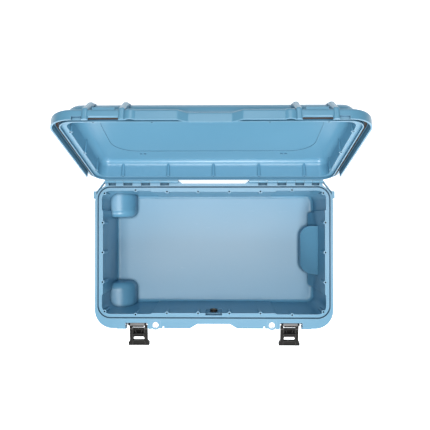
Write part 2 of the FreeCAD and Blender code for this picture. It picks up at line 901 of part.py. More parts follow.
def lid_flange():
    """The lid's flange with the skirt that drops outside the base's rim."""
    plate = joined([slab_z(flange_outline(skirt_grow, lid_back_corner), lid_seat, lid_flange_top)]
                   + eye_lobes(eye_lobe_radius + skirt_grow, lid_seat, lid_flange_top))
    plate = rounded_at(plate, lid_flange_round, level(lid_flange_top))
    skirt = joined([slab_z(flange_outline(skirt_grow, lid_back_corner), skirt_low, lid_seat)]
                   + eye_lobes(eye_lobe_radius + skirt_grow, skirt_low, lid_seat))
    inside = joined([slab_z(flange_outline(skirt_gap, lid_back_corner), skirt_low - overrun, lid_seat)]
                    + eye_lobes(eye_lobe_radius + skirt_gap, skirt_low - overrun, lid_seat))
    back = box(-flange_half * 2, flange_half * 2, skirt_end, back_edge * 2, skirt_low - overrun, lid_seat)
    notch = box(latch_place - latch_notch / 2, latch_place + latch_notch / 2 + skirt_notch_run,
                front_edge - skirt_grow - overrun,
                front_edge + overrun, skirt_low - overrun, skirt_low + skirt_notch_rise)
    skirt = skirt.cut([inside, back] + both_ends(notch))
    ridge = rim_ring(groove_offset + (groove_width - ridge_width) / 2, ridge_width,
                     rim_height - ridge_drop, lid_seat + wall_bite)
    eyes = eye_lobes(eye_bore_radius + eye_wall, skirt_low - overrun, lid_flange_top + overrun)
    return joined([plate, skirt, ridge]).cut(eyes)


def lid_latch_forms():
    """Guard ribs and the catch bar at one latch."""
    face = front_edge - skirt_grow
    wall = -lid_outer_width
    rib_profile = [(face + skirt_wall, skirt_low, 0), (face - lid_rib_proud, skirt_low, 0),
                   (face - lid_rib_proud, lid_flange_top, lid_rib_round),
                   (wall - lid_rib_thick / 2, rim_height + lid_rib_top - crown_round / 2, crown_round / 2),
                   (wall + crown_round, rim_height + lid_rib_top, crown_round / 2),
                   (wall + crown_round * 2, lid_top - wall_bite, 0), (wall, lid_seat, 0),
                   (face + skirt_wall, lid_seat, 0)]
    ribs = []
    for offset in (-lid_rib_offset, lid_rib_offset):
        middle = latch_place + offset
        rib = slab_x(rib_profile, middle - lid_rib_thick / 2, middle + lid_rib_thick / 2)
        ribs.append(rounded_at(rib, lid_rib_round, lambda limits: limits.XLength < touch
                               and limits.ZMax > lid_flange_top and limits.YMin < wall + crown_round
                               and limits.YLength > touch))
    catch = slab_x([(catch_front, lid_flange_top - lid_flange_round, 0),
                    (catch_front + catch_thick, lid_flange_top - lid_flange_round, 0),
                    (catch_front + catch_thick, lid_flange_top + catch_rise, catch_round),
                    (catch_front, lid_flange_top + catch_rise, catch_round)],
                   latch_place - catch_half, latch_place + catch_half)
    return ribs + [catch]


def lid_knuckle_forms():
    """Hinge knuckles with their arms and the heels that meet the base's stops."""
    forms = []
    for start, end in lid_knuckles:
        forms.append(rod(hinge_barrel_radius, (start, hinge_axis_y, rim_height),
                         (end, hinge_axis_y, rim_height)))
        forms.append(box(start, end, hinge_axis_y - lid_arm_reach, hinge_axis_y, lid_seat,
                         lid_seat + hinge_barrel_radius - lid_gap))
        forms.append(box(start, end, hinge_axis_y, hinge_axis_y + heel_length,
                         rim_height - heel_thick / 2, rim_height + heel_thick / 2))
    return forms


def lid_inside():
    sink = lid_depth * lid_lean_share
    low = rectangle(lid_half_length, lid_half_width, opening_corner)
    high = rectangle(lid_half_length - sink, lid_half_width - sink, opening_corner)
    space = rounded_at(tapered(low, high, lid_seat - overrun, lid_ceiling), ceiling_round, level(lid_ceiling))
    recess = slab_z(panel_outline(panel_step), lid_ceiling - panel_sink, lid_ceiling + panel_sink)
    return space.fuse(recess).cut(ceiling_studs())


def ceiling_studs():
    """Two pairs of little studs near the hinges on the lid's ceiling."""
    y = half_width - ceiling_stud_inset
    studs = []
    for side in (-1, 1):
        x = opening_length * ceiling_stud_share + side * ceiling_stud_pitch / 2
        studs += both_ends(rod(ceiling_stud_radius, (x, y, lid_ceiling - ceiling_stud_rise),
                               (x, y, lid_ceiling + panel_rise)))
    return studs


def lid_bosses():
    """Screw bosses down the inside of the lid's walls."""
    high = lid_seat + lid_boss_length
    end_pitch = opening_width * lid_boss_end_share
    places = [(share * opening_length, side * lid_half_width) for share in lid_boss_shares
              for side in (-1, 1)]
    places += [(side * lid_half_length, y) for y in (-end_pitch, 0, end_pitch)
               for side in (-1, 1)]
    bosses = []
    for x, y in places:
        boss = rod(lid_boss_radius, (x, y, lid_seat), (x, y, high))
        bosses.append(boss.fuse(Part.makeSphere(lid_boss_radius, Vector(x, y, high))))
    holes = [rod(bezel_hole_radius, (x, y, lid_seat - overrun), (x, y, lid_seat + bezel_hole_depth))
             for x, y in places]
    return bosses, holes


def closed_lid():
    added = lid_latch_forms()
    solid = joined([lid_crown(), lid_flange()] + added + [mirrored_x(form) for form in added]
                   + lid_knuckle_forms() + [mirrored_x(form) for form in lid_knuckle_forms()])
    bore = rod(hinge_pin_radius + running_clearance, (hinge_start, hinge_axis_y, rim_height),
               (hinge_end, hinge_axis_y, rim_height))
    groove = rim_ring(gasket_offset, gasket_width, lid_seat - overrun, lid_seat + gasket_depth)
    inside = lid_inside()
    bosses, holes = lid_bosses()
    shell = solid.cut([inside, groove] + both_ends(bore))
    return joined([shell] + [boss.common(inside) for boss in bosses]).cut(holes)


def opened(shape):
    return turned(shape, (hinge_axis_y, rim_height), -lid_open_turn)


def lid_shell():
    return opened(closed_lid())


def lid_gasket():
    low = rim_height + gasket_face_gap + lid_gap
    return opened(rim_ring(gasket_offset + gasket_lip, gasket_width - gasket_lip * 2, low,
                           lid_seat + gasket_depth))


def hinge_pin():
    return rod(hinge_pin_radius, (hinge_start + shell_wall, hinge_axis_y, rim_height),
               (hinge_end, hinge_axis_y, rim_height))


# Latches, drawn closed at the right end and then turned open about their pin

def at_latch(a, b, radius=0):
    """A profile corner from its reach a outwards and its height b above the latch pin."""
    return (latch_pivot[0] - a, latch_pivot[1] + b, radius)


def latch_rod(radius, a, b, half):
    y, z, _ = at_latch(a, b)
    return rod(radius, (latch_place - half, y, z), (latch_place + half, y, z))


def latch_slab(corners, half):
    return slab_x([at_latch(*corner) for corner in corners], latch_place - half, latch_place + half)


def latch_face(corners, near, far):
    """A prism through the latch from reach near to far; corners are (x, height, radius) about its pin."""
    wire = rounded_wire(corners, lambda p: Vector(latch_place + p.x, latch_pivot[0] - near,
                                                  latch_pivot[1] + p.y))
    return Part.Face(wire).extrude(axis_y * (near - far))


def latch_lever():
    outer = lever_inner + lever_thick
    lip = outer + lever_lip_proud
    lip_middle = (lever_lip_low + lever_top) / 2
    rail = [(-lever_barrel, -lever_barrel, lever_leg_top), (outer, -lever_barrel, overrun),
            (outer, lever_top, wall_bite), (lever_inner, lever_top, wall_bite),
            (lever_inner, lever_leg_top, 0), (-lever_barrel, lever_leg_top, lever_leg_top)]
    sides = latch_slab(rail, lever_rail_outside).cut(
        box(latch_place - lever_rail_inside, latch_place + lever_rail_inside, -flange_half, 0, 0,
            flange_half))
    bar = latch_slab([(-lever_barrel, -lever_barrel, lever_leg_top),
                      (lever_bar_reach, -lever_barrel, wall_bite),
                      (lever_bar_reach, lever_leg_top, wall_bite), (-lever_barrel, lever_leg_top,
                                                                    lever_leg_top)],
                     lever_rail_outside)
    grip = latch_slab([(lever_inner, lever_lip_low, wall_bite), (outer, lever_lip_low, wall_bite),
                       (lip, lip_middle, wall_bite), (lip, lever_top, wall_bite / 2),
                       (lever_inner, lever_top, wall_bite)], lever_lip_half)
    flare = lever_lip_low + lever_lip_flare
    grip = grip.common(latch_face([(-lever_rail_outside, lever_lip_low, 0),
                                   (lever_rail_outside, lever_lip_low, 0),
                                   (lever_lip_half, flare, wall_bite), (lever_lip_half, lever_top, wall_bite),
                                   (-lever_lip_half, lever_top, wall_bite), (-lever_lip_half, flare,
                                                                             wall_bite)],
                                  0, lip))
    recess_low, recess_high = lever_lip_low + lever_lip_rim, lever_top - lever_lip_rim
    recess = latch_face([(-lever_rail_inside + lever_lip_rim, recess_low, wall_bite / 2),
                         (lever_rail_inside - lever_lip_rim, recess_low, wall_bite / 2),
                         (lever_rail_outside - lever_lip_rim, recess_high, wall_bite / 2),
                         (-lever_rail_outside + lever_lip_rim, recess_high, wall_bite / 2)],
                        0, lever_inner + lever_lip_recess)
    half = lever_rail_inside - lever_arch_rim
    arch = latch_face(span(-lever_rail_inside - lever_arch_rim, lever_rail_inside + lever_arch_rim,
                           lever_arch_low, lever_lip_low + lever_lip_rim), outer - lever_arch_thick, outer)
    window = latch_face([(-half, lever_arch_low + lever_arch_rim, lever_arch_round),
                         (half, lever_arch_low + lever_arch_rim, lever_arch_round),
                         (half, lever_lip_low, wall_bite), (-half, lever_lip_low, wall_bite)], 0, lip)
    solid = joined([sides, bar, grip.cut(recess), arch.cut(window)])
    slot_half = lock_stem_half + lock_travel / 2 + lock_gap
    stem_low = lock_pad_low + (lever_top - lock_pad_low - lock_stem_height) / 2
    slot = latch_slab([(outer, stem_low - lock_gap), (lip + overrun, stem_low - lock_gap),
                       (lip + overrun, stem_low + lock_stem_height + lock_gap),
                       (outer, stem_low + lock_stem_height + lock_gap)], slot_half)
    bores = [latch_rod(latch_pin_radius + running_clearance, 0, 0, latch_notch),
             latch_rod(claw_pin_radius + hinge_fit, *claw_pin, lever_rail_outside - wall_bite / 2)]
    return solid.cut(bores + [slot])


def latch_claw():
    a, b = claw_pin
    inner, outer = a - claw_knuckle, a + claw_knuckle
    near, far = claw_tip
    hook = latch_slab([(inner, b - claw_knuckle, claw_knuckle - touch),
                       (outer, b - claw_knuckle, claw_knuckle - touch),
                       (outer, claw_top, wall_bite), (near, claw_top, wall_bite / 2), (near, claw_tip_low, 0),
                       (far, claw_tip_low, 0), (far, claw_bridge_low, wall_bite / 4),
                       (inner, claw_bridge_low, wall_bite / 4)], claw_half)
    low, high = claw_pocket
    pocket = latch_face(span(-claw_pocket_half, claw_pocket_half, low, high, wall_bite / 2), far,
                        inner + claw_pocket_depth)
    ribs = []
    for side in (-1, 1):
        foot, head = side * claw_rib_foot, side * claw_rib_head
        ribs.append(latch_face([(foot - claw_rib_thick / 2, low, 0), (foot + claw_rib_thick / 2, low, 0),
                                (head + claw_rib_thick / 2, high, 0), (head - claw_rib_thick / 2, high, 0)],
                               inner, outer))
    return hook.cut([pocket.cut(ribs), latch_rod(claw_pin_radius + running_clearance, a, b,
                                                 claw_half + overrun)])


def latch_lock():
    """The slide lock on the lever's lip, at one end of its travel."""
    lip = lever_inner + lever_thick + lever_lip_proud
    near, far = lip + lock_gap, lip + lock_gap + lock_pad_thick
    root = lip - lever_lip_proud + lock_gap
    low = lock_pad_low + (lever_top - lock_pad_low - lock_stem_height) / 2
    high = low + lock_stem_height
    edge = wall_bite / 4
    pad = latch_slab([(near, lock_pad_low, edge), (far, lock_pad_low, edge), (far, lever_top, edge),
                      (near, lever_top, edge)], lock_half)
    stem = latch_slab(span(root, near + edge, low, high), lock_stem_half)
    groove = latch_slab(span(far - edge, far + edge, lock_pad_low - overrun, lever_top + overrun),
                        lock_gap * 2)
    grooves = [groove.translated(Vector(side * lock_stem_half, 0, 0)) for side in (-1, 0, 1)]
    return joined([pad, stem]).cut(grooves).translated(Vector(-lock_travel / 2, 0, 0))


def latch_pin():
    return latch_rod(latch_pin_radius, 0, 0, latch_notch / 2 + latch_pin_bite)


def latch_claw_pin():
    return latch_rod(claw_pin_radius, *claw_pin, lever_rail_outside - wall_bite / 2)


def latch_opened(shape):
    return turned(shape, latch_pivot, latch_open_turn)


def padlock_eye():
    """A collared bush pressed into the base's lobe."""
    x, y = eye_place
    bush = rod(eye_bore_radius + eye_wall - hinge_fit, (x, y, flange_low - eye_collar_thick),
               (x, y, rim_height))
    collar = rod(eye_collar_radius, (x, y, flange_low - eye_collar_thick), (x, y, flange_low))
    return joined([bush, collar]).cut(rod(eye_bore_radius, (x, y, flange_low - overrun),
                                          (x, y, rim_height + overrun)))


# Carry handle, hanging down the front wall

def handle_bar(grow, half):
    """The bar that is gripped, hanging below the pivot."""
    y, z = handle_pivot
    low = z - handle_reach - handle_bar_height / 2 - grow
    high = z - handle_reach + handle_bar_height / 2 + grow
    near, far = y - handle_bar_thick / 2 - grow, y + handle_bar_thick / 2 + grow
    return slab_x(span(near, far, low, high, handle_round), -half, half)


def carry_handle_frame():
    y, z = handle_pivot
    low = z - handle_reach - handle_bar_height / 2
    arm = slab_x([(y - handle_bar_thick / 2, low, handle_round),
                  (y + handle_bar_thick / 2, low, handle_round),
                  (y + handle_lug_radius, z + handle_lug_radius, handle_lug_radius - touch),
                  (y - handle_lug_radius, z + handle_lug_radius, handle_lug_radius - touch)],
                 handle_arm_outside - handle_arm_thick, handle_arm_outside)
    solid = joined([handle_bar(0, handle_arm_outside)] + both_ends(arm))
    bores = both_ends(rod(handle_pin_radius + running_clearance,
                          (handle_arm_outside - handle_arm_thick - overrun, y, z),
                          (handle_arm_outside + overrun, y, z)))
    return solid.cut(bores)


def carry_handle_grip():
    """The soft sleeve moulded over the bar, with finger grooves."""
    sleeve = handle_bar(handle_grip_skin, handle_grip_half)
    rings = []
    count = int(handle_grip_half * 2 / handle_rib_pitch) - 1
    for index in range(count):
        x = (index - (count - 1) / 2) * handle_rib_pitch
        ring = handle_bar(handle_grip_skin + overrun, handle_rib_width / 2)
        rings.append(ring.cut(handle_bar(handle_grip_skin - handle_rib_cut,
                                         handle_rib_width)).translated(Vector(x, 0, 0)))
    return sleeve.cut([handle_bar(0, handle_arm_outside)] + rings)


def carry_handle_pins():
    y, z = handle_pivot
    start = handle_arm_outside - handle_arm_thick
    return Part.makeCompound(both_ends(rod(handle_pin_radius, (start, y, z),
                                           (handle_lug_inside + handle_lug_thick, y, z))))


# Pull handle in the tray under the floor

def tube_shape(shrink):
    """Outline of a tube stage, shrunk from the outer tube, as (y, z, radius) corners."""
    width, height = tube_size
    corner = max(tube_corner - shrink, tube_wall)
    return span(tube_place - width / 2 + shrink, tube_place + width / 2 - shrink,
                tube_height - height / 2 + shrink, tube_height + height / 2 - shrink, corner)


def tube(stage, left, right):
    shrink = stage * (tube_wall + tube_gap)
    return slab_x(tube_shape(shrink), left, right).cut(slab_x(tube_shape(shrink + tube_wall),
                                                              left - overrun, right + overrun))


def outer_tube():
    return tube(0, outer_tube_left, outer_tube_right)


def middle_tube():
    return tube(1, outer_tube_left + stage_step, guide_right - wall_bite)


def inner_tube():
    return tube(2, outer_tube_left + stage_step * 2, grip_left + pull_grip_socket)


def tube_guide():
    """The moulded guide that holds an outer tube's mouth and steers the sliding tubes."""
    half = guide_width / 2
    block = slab_x(span(tube_place - half, tray_half - cover_gap, cover_gap, guide_top, wall_bite),
                   guide_left, guide_right)
    socket = slab_x(tube_shape(-hinge_fit), guide_left - overrun, outer_tube_right)
    mouth = slab_x(tube_shape(tube_wall), guide_left - overrun, guide_right + overrun)
    return block.cut([socket, mouth])


def tube_foot():
    """The block that holds an outer tube's inner end."""
    half = guide_width / 2
    start = tray_left + cover_gap
    block = slab_x(span(tube_place - half, tray_half - cover_gap, cover_thick + cover_gap, guide_top,
                        wall_bite),
                   start, start + foot_length)
    return block.cut(slab_x(tube_shape(-hinge_fit), outer_tube_left, start + foot_length + overrun))


def pull_grip():
    half = tray_half - pull_grip_inset
    left, right = grip_left, grip_right
    body = slab_y([(left, pull_grip_low, wall_bite), (right, pull_grip_low, pull_grip_round),
                   (right, floor_under, pull_grip_round), (left, floor_under, pull_grip_round)], -half, half)
    plan = slab_z([(left, -half, wall_bite), (right, -half, pull_grip_round), (right, half, pull_grip_round),
                   (left, half, wall_bite)], 0, floor_z)
    sockets = both_sides(slab_x(tube_shape(2 * (tube_wall + tube_gap) - hinge_fit), left - overrun,
                                left + pull_grip_socket))
    return body.common(plan).cut(sockets + [button_space()])


def button_outline(grow):
    middle = (pull_grip_low + floor_under) / 2
    return span(-button_width / 2 - grow, button_width / 2 + grow, middle - button_height / 2 - grow,
                middle + button_height / 2 + grow, button_round + grow)


def button_space():
    return slab_x(button_outline(button_gap), grip_right - button_depth - button_travel, grip_right + overrun)


def pull_button():
    return slab_x(button_outline(0), grip_right - button_depth, grip_right + button_proud)


def tray_cover():
    """The screwed plate under the tubes, with stiffening beads; its face is what the case rests on."""
    half = tray_half + cover_lap - cover_gap
    plate = slab_z(span(tray_left - cover_lap + cover_gap, cover_right, -half, half, overrun), 0, cover_thick)
    beads = []
    for side in (-1, 1):
        y = side * spine_place * cover_bead_share
        outline = span(tray_left + foot_length, cover_right - foot_length, y - cover_bead_width / 2,
                       y + cover_bead_width / 2, cover_bead_width / 2 - touch)
        beads.append(slab_z(outline, -overrun, cover_bead_rise))
    holes = [rod(screw_radius + cover_gap, (x, y, -overrun), (x, y, cover_thick + overrun)) for x,
             y in cover_screw_places()]
    sinks = [Part.makeCone(screw_head_radius + cover_gap, screw_radius + cover_gap, screw_head_rise,
                           Vector(x, y, 0))
             for x, y in cover_screw_places()]
    return plate.cut(beads + holes + sinks)


def cover_screws():
    """Countersunk screws that hold the cover to the spines."""
    screws = []
    for x, y in cover_screw_places():
        head = Part.makeCone(screw_head_radius, screw_radius, screw_head_rise, Vector(x, y, cover_gap))
        shank = rod(screw_radius, (x, y, cover_gap), (x, y, screw_length))
        drive = rod(screw_drive_radius, (x, y, 0), (x, y, screw_head_rise))
        screws.append(joined([head, shank]).cut(drive))
    return Part.makeCompound(screws)


# Wheels

def wheel_ring(radius, width, round_over):
    """A disc about the wheel axis with rounded outer edges."""
    x, y, z = wheel_place
    disc = rod(radius, (x, y - width / 2, z), (x, y + width / 2, z))
    if round_over:
        disc = rounded_at(disc, round_over, lambda limits: limits.YLength < touch)
    return disc


def wheel_tyre():
    return wheel_ring(wheel_radius, tyre_width, tyre_round).cut(
        wheel_ring(wheel_radius - tyre_thick, tyre_width + overrun, 0))


def wheel_hub():
    x, y, z = wheel_place
    rim = wheel_radius - tyre_thick
    barrel = wheel_ring(rim, tyre_width, 0).cut(wheel_ring(rim - hub_rim_thick, tyre_width + overrun, 0))
    web = wheel_ring(rim, hub_web, 0)
    boss = wheel_ring(hub_boss_radius, hub_width, 0)
    circle = (rim - hub_rim_thick + hub_boss_radius) / 2
    holes = []
    for index in range(hub_holes):
        turn = 2 * math.pi * index / hub_holes
        hx, hz = x + circle * math.cos(turn), z + circle * math.sin(turn)
        holes.append(rod(hub_hole_radius, (hx, y - hub_web, hz), (hx, y + hub_web, hz)))
    seats = [rod(bearing_radius, (x, y + side * hub_width / 2, z),
                 (x, y + side * (hub_width / 2 - bearing_width), z))
             for side in (-1, 1)]
    through = rod(axle_radius + wheel_side_gap, (x, y - hub_width, z), (x, y + hub_width, z))
    return joined([barrel, web, boss]).cut(holes + seats + [through])


def wheel_bearings():
    x, y, z = wheel_place
    rings = []
    for side in (-1, 1):
        start, end = (x, y + side * hub_width / 2, z), (x, y + side * (hub_width / 2 - bearing_width), z)
        rings.append(rod(bearing_radius, start, end).cut(rod(axle_radius + running_clearance, start, end)))
    return Part.makeCompound(rings)


def wheel_axle():
    x, y, z = wheel_place
    inner = half_width - lean_at(floor_z) - well_width + well_cheek
    wall = outer_width - lean_at(z + axle_head_radius)
    shaft = rod(axle_radius, (x, inner, z), (x, wall + axle_head_thick, z))
    head = rod(axle_head_radius, (x, wall + touch, z), (x, wall + axle_head_thick, z))
    return joined([shaft, head])


# Pressure valve in the front wall

def valve_stack():
    """Valve pieces along Y at the valve's place, from outside to inside."""
    x, z = valve_place
    inside = -(half_width - lean_at(z + valve_nut_radius))
    def disc(radius, start, length):
        return rod(radius, (x, start, z), (x, start + length, z))
    face = -(outer_width - lean_at(z + valve_cap_radius))
    seal = disc(valve_seal_radius, face - valve_seal_thick, valve_seal_thick).cut(
        disc(valve_radius, face - overrun, overrun * 2))
    cap = disc(valve_cap_radius, face - valve_seal_thick - valve_cap_thick, valve_cap_thick)
    nut_start = inside + lean_at(z - valve_nut_radius) - lean_at(z + valve_nut_radius)
    stem = disc(valve_radius, face - valve_seal_thick - valve_cap_thick / 2,
                nut_start + valve_nut_thick - face + valve_seal_thick + valve_cap_thick / 2)
    vent_space = disc(valve_vent_radius, nut_start - overrun, overrun * 4)
    body = joined([cap, stem]).cut(vent_space)
    nut = disc(valve_nut_radius, nut_start, valve_nut_thick).cut(disc(valve_radius, nut_start - overrun,
                                                                      overrun * 4))
    vent = disc(valve_vent_radius, nut_start - overrun, valve_nut_thick + overrun + valve_vent_proud)
    return {"valve_body": body, "valve_nut": nut, "valve_seal": seal, "valve_vent": vent}


def all_parts():
    """Every piece by its node name, at rest."""
    moulding = base_moulding()
    parts = {"base_shell": base_shell(moulding), "base_underframe": base_underframe(moulding),
             "lid_shell": lid_shell(), "lid_gasket": lid_gasket(),
             "carry_handle_frame": carry_handle_frame(), "carry_handle_grip": carry_handle_grip(),
             "carry_handle_pins": carry_handle_pins(), "pull_grip": pull_grip(), "pull_button": pull_button(),
             "tray_cover": tray_cover(), "cover_screws": cover_screws()}
    for name, shape in (("hinge_pin", hinge_pin()), ("padlock_eye", padlock_eye()),
                        ("padlock_lug", padlock_lug(moulding)),
                        ("latch_pin", latch_pin()),
                        ("latch_lever", latch_opened(latch_lever())), ("latch_claw",
                                                                       latch_opened(latch_claw())),
                        ("latch_lock", latch_opened(latch_lock())), ("latch_claw_pin",
                                                                     latch_opened(latch_claw_pin()))):
        parts[name + "_right"] = shape
        parts[name + "_left"] = mirrored_x(shape)
    for name, shape in (("outer_tube", outer_tube()), ("middle_tube", middle_tube()),
                        ("inner_tube", inner_tube()),
                        ("tube_guide", tube_guide()), ("tube_foot", tube_foot()), ("wheel_tyre",
                                                                                   wheel_tyre()),
                        ("wheel_hub", wheel_hub()), ("wheel_bearings", wheel_bearings()), ("wheel_axle",
                                                                                           wheel_axle())):
        parts[name + "_back"] = shape
        parts[name + "_front"] = mirrored_y(shape)
    parts.update(valve_stack())
    return parts


os.makedirs("parts", exist_ok=True)
for name, shape in all_parts().items():
    shape.exportStep("parts/" + name + ".step")
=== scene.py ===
# %% [markdown]
# # An open hard case
# The case is already drawn as solids, each in its true place. This lesson loads those solids, gives every one
# a finish that looks like the real material, adds the small details that a moulding has, and sets up a studio
# like the one that the object was photographed in. Nothing here moves or changes a solid: where one needs another
# shape, a copy or a new piece stands for it.

# %% Load the solids
import math
import bpy
from mathutils import Matrix, Vector


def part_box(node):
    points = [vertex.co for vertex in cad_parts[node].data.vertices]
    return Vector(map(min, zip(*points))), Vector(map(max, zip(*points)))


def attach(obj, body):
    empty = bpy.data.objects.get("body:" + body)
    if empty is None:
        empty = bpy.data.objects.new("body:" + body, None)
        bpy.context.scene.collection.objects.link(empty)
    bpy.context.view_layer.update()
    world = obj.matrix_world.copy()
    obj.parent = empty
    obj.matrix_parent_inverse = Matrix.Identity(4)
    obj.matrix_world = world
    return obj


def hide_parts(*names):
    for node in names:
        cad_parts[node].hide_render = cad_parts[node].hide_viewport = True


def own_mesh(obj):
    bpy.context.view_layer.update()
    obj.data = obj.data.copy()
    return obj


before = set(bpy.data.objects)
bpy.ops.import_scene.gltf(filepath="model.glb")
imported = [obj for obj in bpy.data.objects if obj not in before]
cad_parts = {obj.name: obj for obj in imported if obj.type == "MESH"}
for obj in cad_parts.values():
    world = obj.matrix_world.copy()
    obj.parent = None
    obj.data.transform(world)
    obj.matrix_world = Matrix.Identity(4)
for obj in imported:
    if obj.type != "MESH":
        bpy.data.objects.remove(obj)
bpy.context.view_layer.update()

# %% [markdown]
# ## Sums on shader sockets
# A finish is a network of nodes, and most of a network is arithmetic. Wiring Math nodes one at a time hides the
# idea, so this small class wraps a socket and lets Python's own signs add the nodes: half * cloud + speck is then
# a line that can be read. Every other kind of node comes from the one method, which sets the node's options first
# and then its sockets, by value or by link.

# %% A socket that can be used in sums
class Tone:
    """A shader socket that takes part in Python sums."""

    def __init__(self, tree, socket):
        self.tree = tree
        self.socket = socket

    def node(self, kind, settings, sockets, output=0):
        made = self.tree.nodes.new(kind)
        for name, value in settings.items():
            setattr(made, name, value)
        for name, value in sockets.items():
            if isinstance(value, Tone):
                self.tree.links.new(value.socket, made.inputs[name])
            else:
                made.inputs[name].default_value = value
        return Tone(self.tree, made.outputs[output] if made.outputs else None)

    def sum_of(self, operation, first, second):
        return self.node("ShaderNodeMath", {"operation": operation}, {0: first, 1: second})

    def __add__(self, other):
        return self.sum_of("ADD", self, other)

    def __radd__(self, other):
        return self.sum_of("ADD", other, self)

    def __sub__(self, other):
        return self.sum_of("SUBTRACT", self, other)

    def __rsub__(self, other):
        return self.sum_of("SUBTRACT", other, self)

    def __mul__(self, other):
        return self.sum_of("MULTIPLY", self, other)

    def __rmul__(self, other):
        return self.sum_of("MULTIPLY", other, self)


print("Sums ready")

# %% [markdown]
# ## Patterns
# All the finishes are mixed from a few patterns: clouds of noise, the pebbled grain of an etched mould, and two that
# look at the shape itself. Those two use an occlusion node, which asks how much of its surroundings a point can
# see. Looking outwards it finds hollows, where the finishes paint shade, and looking inwards it finds edges, where
# they paint a highlight.

# %% Patterns for the finishes
occlusion_rays = 12


def new_finish(name):
    """An empty material and its Object coordinates."""
    material = bpy.data.materials.new(name)
    material.use_nodes = True
    tree = material.node_tree
    tree.nodes.clear()
    coordinates = tree.nodes.new("ShaderNodeTexCoord")
    return material, Tone(tree, coordinates.outputs["Object"])


def cloud(place, scale, detail, stretch=(1, 1, 1)):
    """Soft noise from 0 to 1; stretch squeezes it along the axes."""
    spread = place.node("ShaderNodeMapping", {}, {"Vector": place, "Scale": stretch})
    return place.node("ShaderNodeTexNoise", {}, {"Vector": spread, "Scale": scale, "Detail": detail})


def pebble(place, scale):
    """Distance to scattered points: the rounded grain of an etched mould."""
    return place.node("ShaderNodeTexVoronoi", {"feature": "SMOOTH_F1"}, {"Vector": place, "Scale": scale})


def between(place, share, first, second):
    """A colour that goes from first to second as share goes from 0 to 1; the colours are sockets 6, 7 and 2."""
    return place.node("ShaderNodeMix", {"data_type": "RGBA"}, {0: share, 6: first, 7: second}, 2)


def sharpen(place, value, low, high):
    """Stretches the range from low to high over 0 to 1 and stops there."""
    return place.node("ShaderNodeMapRange", {"clamp": True}, {0: value, 1: low, 2: high, 3: 0.0, 4: 1.0})


def raised(place, height, depth, strength):
    """A surface normal that rises and falls by height times depth, in metres."""
    return place.node("ShaderNodeBump", {}, {"Height": height, "Distance": depth, "Strength": strength})


def hollow(place, reach):
    """0 deep in a groove or corner and 1 in the open, looking no further than reach, in metres."""
    open_share = place.node("ShaderNodeAmbientOcclusion", {"samples": occlusion_rays}, {"Distance": reach}, 1)
    return sharpen(place, open_share, low=0.30, high=0.92)


def edge(place, reach):
    """1 on outside edges and 0 away from them, over a strip about as wide as reach, in metres."""
    inner_share = place.node("ShaderNodeAmbientOcclusion",
                             {"samples": occlusion_rays, "inside": True, "only_local": True}, {"Distance": reach}, 1)
    return sharpen(place, 1 - inner_share, low=0.06, high=0.42)


def surface(place, sockets):
    """Closes a network with one plain surface shader."""
    shader = place.node("ShaderNodeBsdfPrincipled", {}, sockets)
    place.node("ShaderNodeOutputMaterial", {}, {"Surface": shader})


print("Patterns ready")

# %% [markdown]
# ## The moulded blue plastic
# Base and lid are injection moulded in a pale steel blue. The steel of the mould is etched, so the plastic comes
# out with a fine pebbled grain that scatters the light and keeps it from looking like glazed pottery. The colour
# drifts a little where the melt flowed, handling leaves faint pale scuffs, edges get a pale painted highlight, and
# grooves and corners get a dark painted shade and are rougher there.
# A picture of plastic could be wrapped round the case instead, but noise in the object's own space has no seams
# and stays sharp close up.

# %% Blue shell plastic
def shell_plastic():
    material, place = new_finish("shell_plastic")
    # The pale colour serves both scuffs and a painted highlight on edges; the dark one is painted shade for grooves
    # and corners.
    pale_scuff_and_highlight, painted_shade = (0.34, 0.48, 0.58, 1), (0.026, 0.090, 0.155, 1)
    flow = cloud(place, scale=5.0, detail=3.0)
    grain = pebble(place, scale=900.0)
    fine = cloud(place, scale=2600.0, detail=2.0)
    scuff = sharpen(place, cloud(place, scale=26.0, detail=6.0, stretch=(1.0, 5.0, 2.0)), low=0.66, high=0.80)
    base = between(place, flow, (0.092, 0.250, 0.375, 1), (0.114, 0.284, 0.415, 1))
    # Edges are lightened towards the pale colour as a painted highlight, mixed with the real scuffs.
    scuffed_and_highlit = between(place, 0.12 * scuff + 0.22 * edge(place, reach=0.0016), base, pale_scuff_and_highlight)
    # Grooves and corners darken towards the dark colour as painted shade, and are rougher there.
    unshaded = hollow(place, reach=0.008)
    rough = 0.28 + 0.10 * flow + 0.10 * scuff + 0.45 * (1 - unshaded)
    surface(place, {"Base Color": between(place, unshaded, painted_shade, scuffed_and_highlit), "Roughness": rough, "IOR": 1.50,
                    "Normal": raised(place, 0.7 * grain + 0.3 * fine, depth=0.00012, strength=0.5)})
    return material


blue_shell = shell_plastic()
print("Made", blue_shell.name)

# %% [markdown]
# ## Black fittings
# Latches, handles, hubs and guides are a tougher black plastic with the same etched grain, only finer. Their edges
# are painted paler as a highlight and their hollows near black as painted shade. Black plastic is never quite black:
# a base of about one percent, with a slow drift in its roughness, lets the shapes show. The bars of the latches use
# the same recipe, painted pale as a highlight and made shinier.

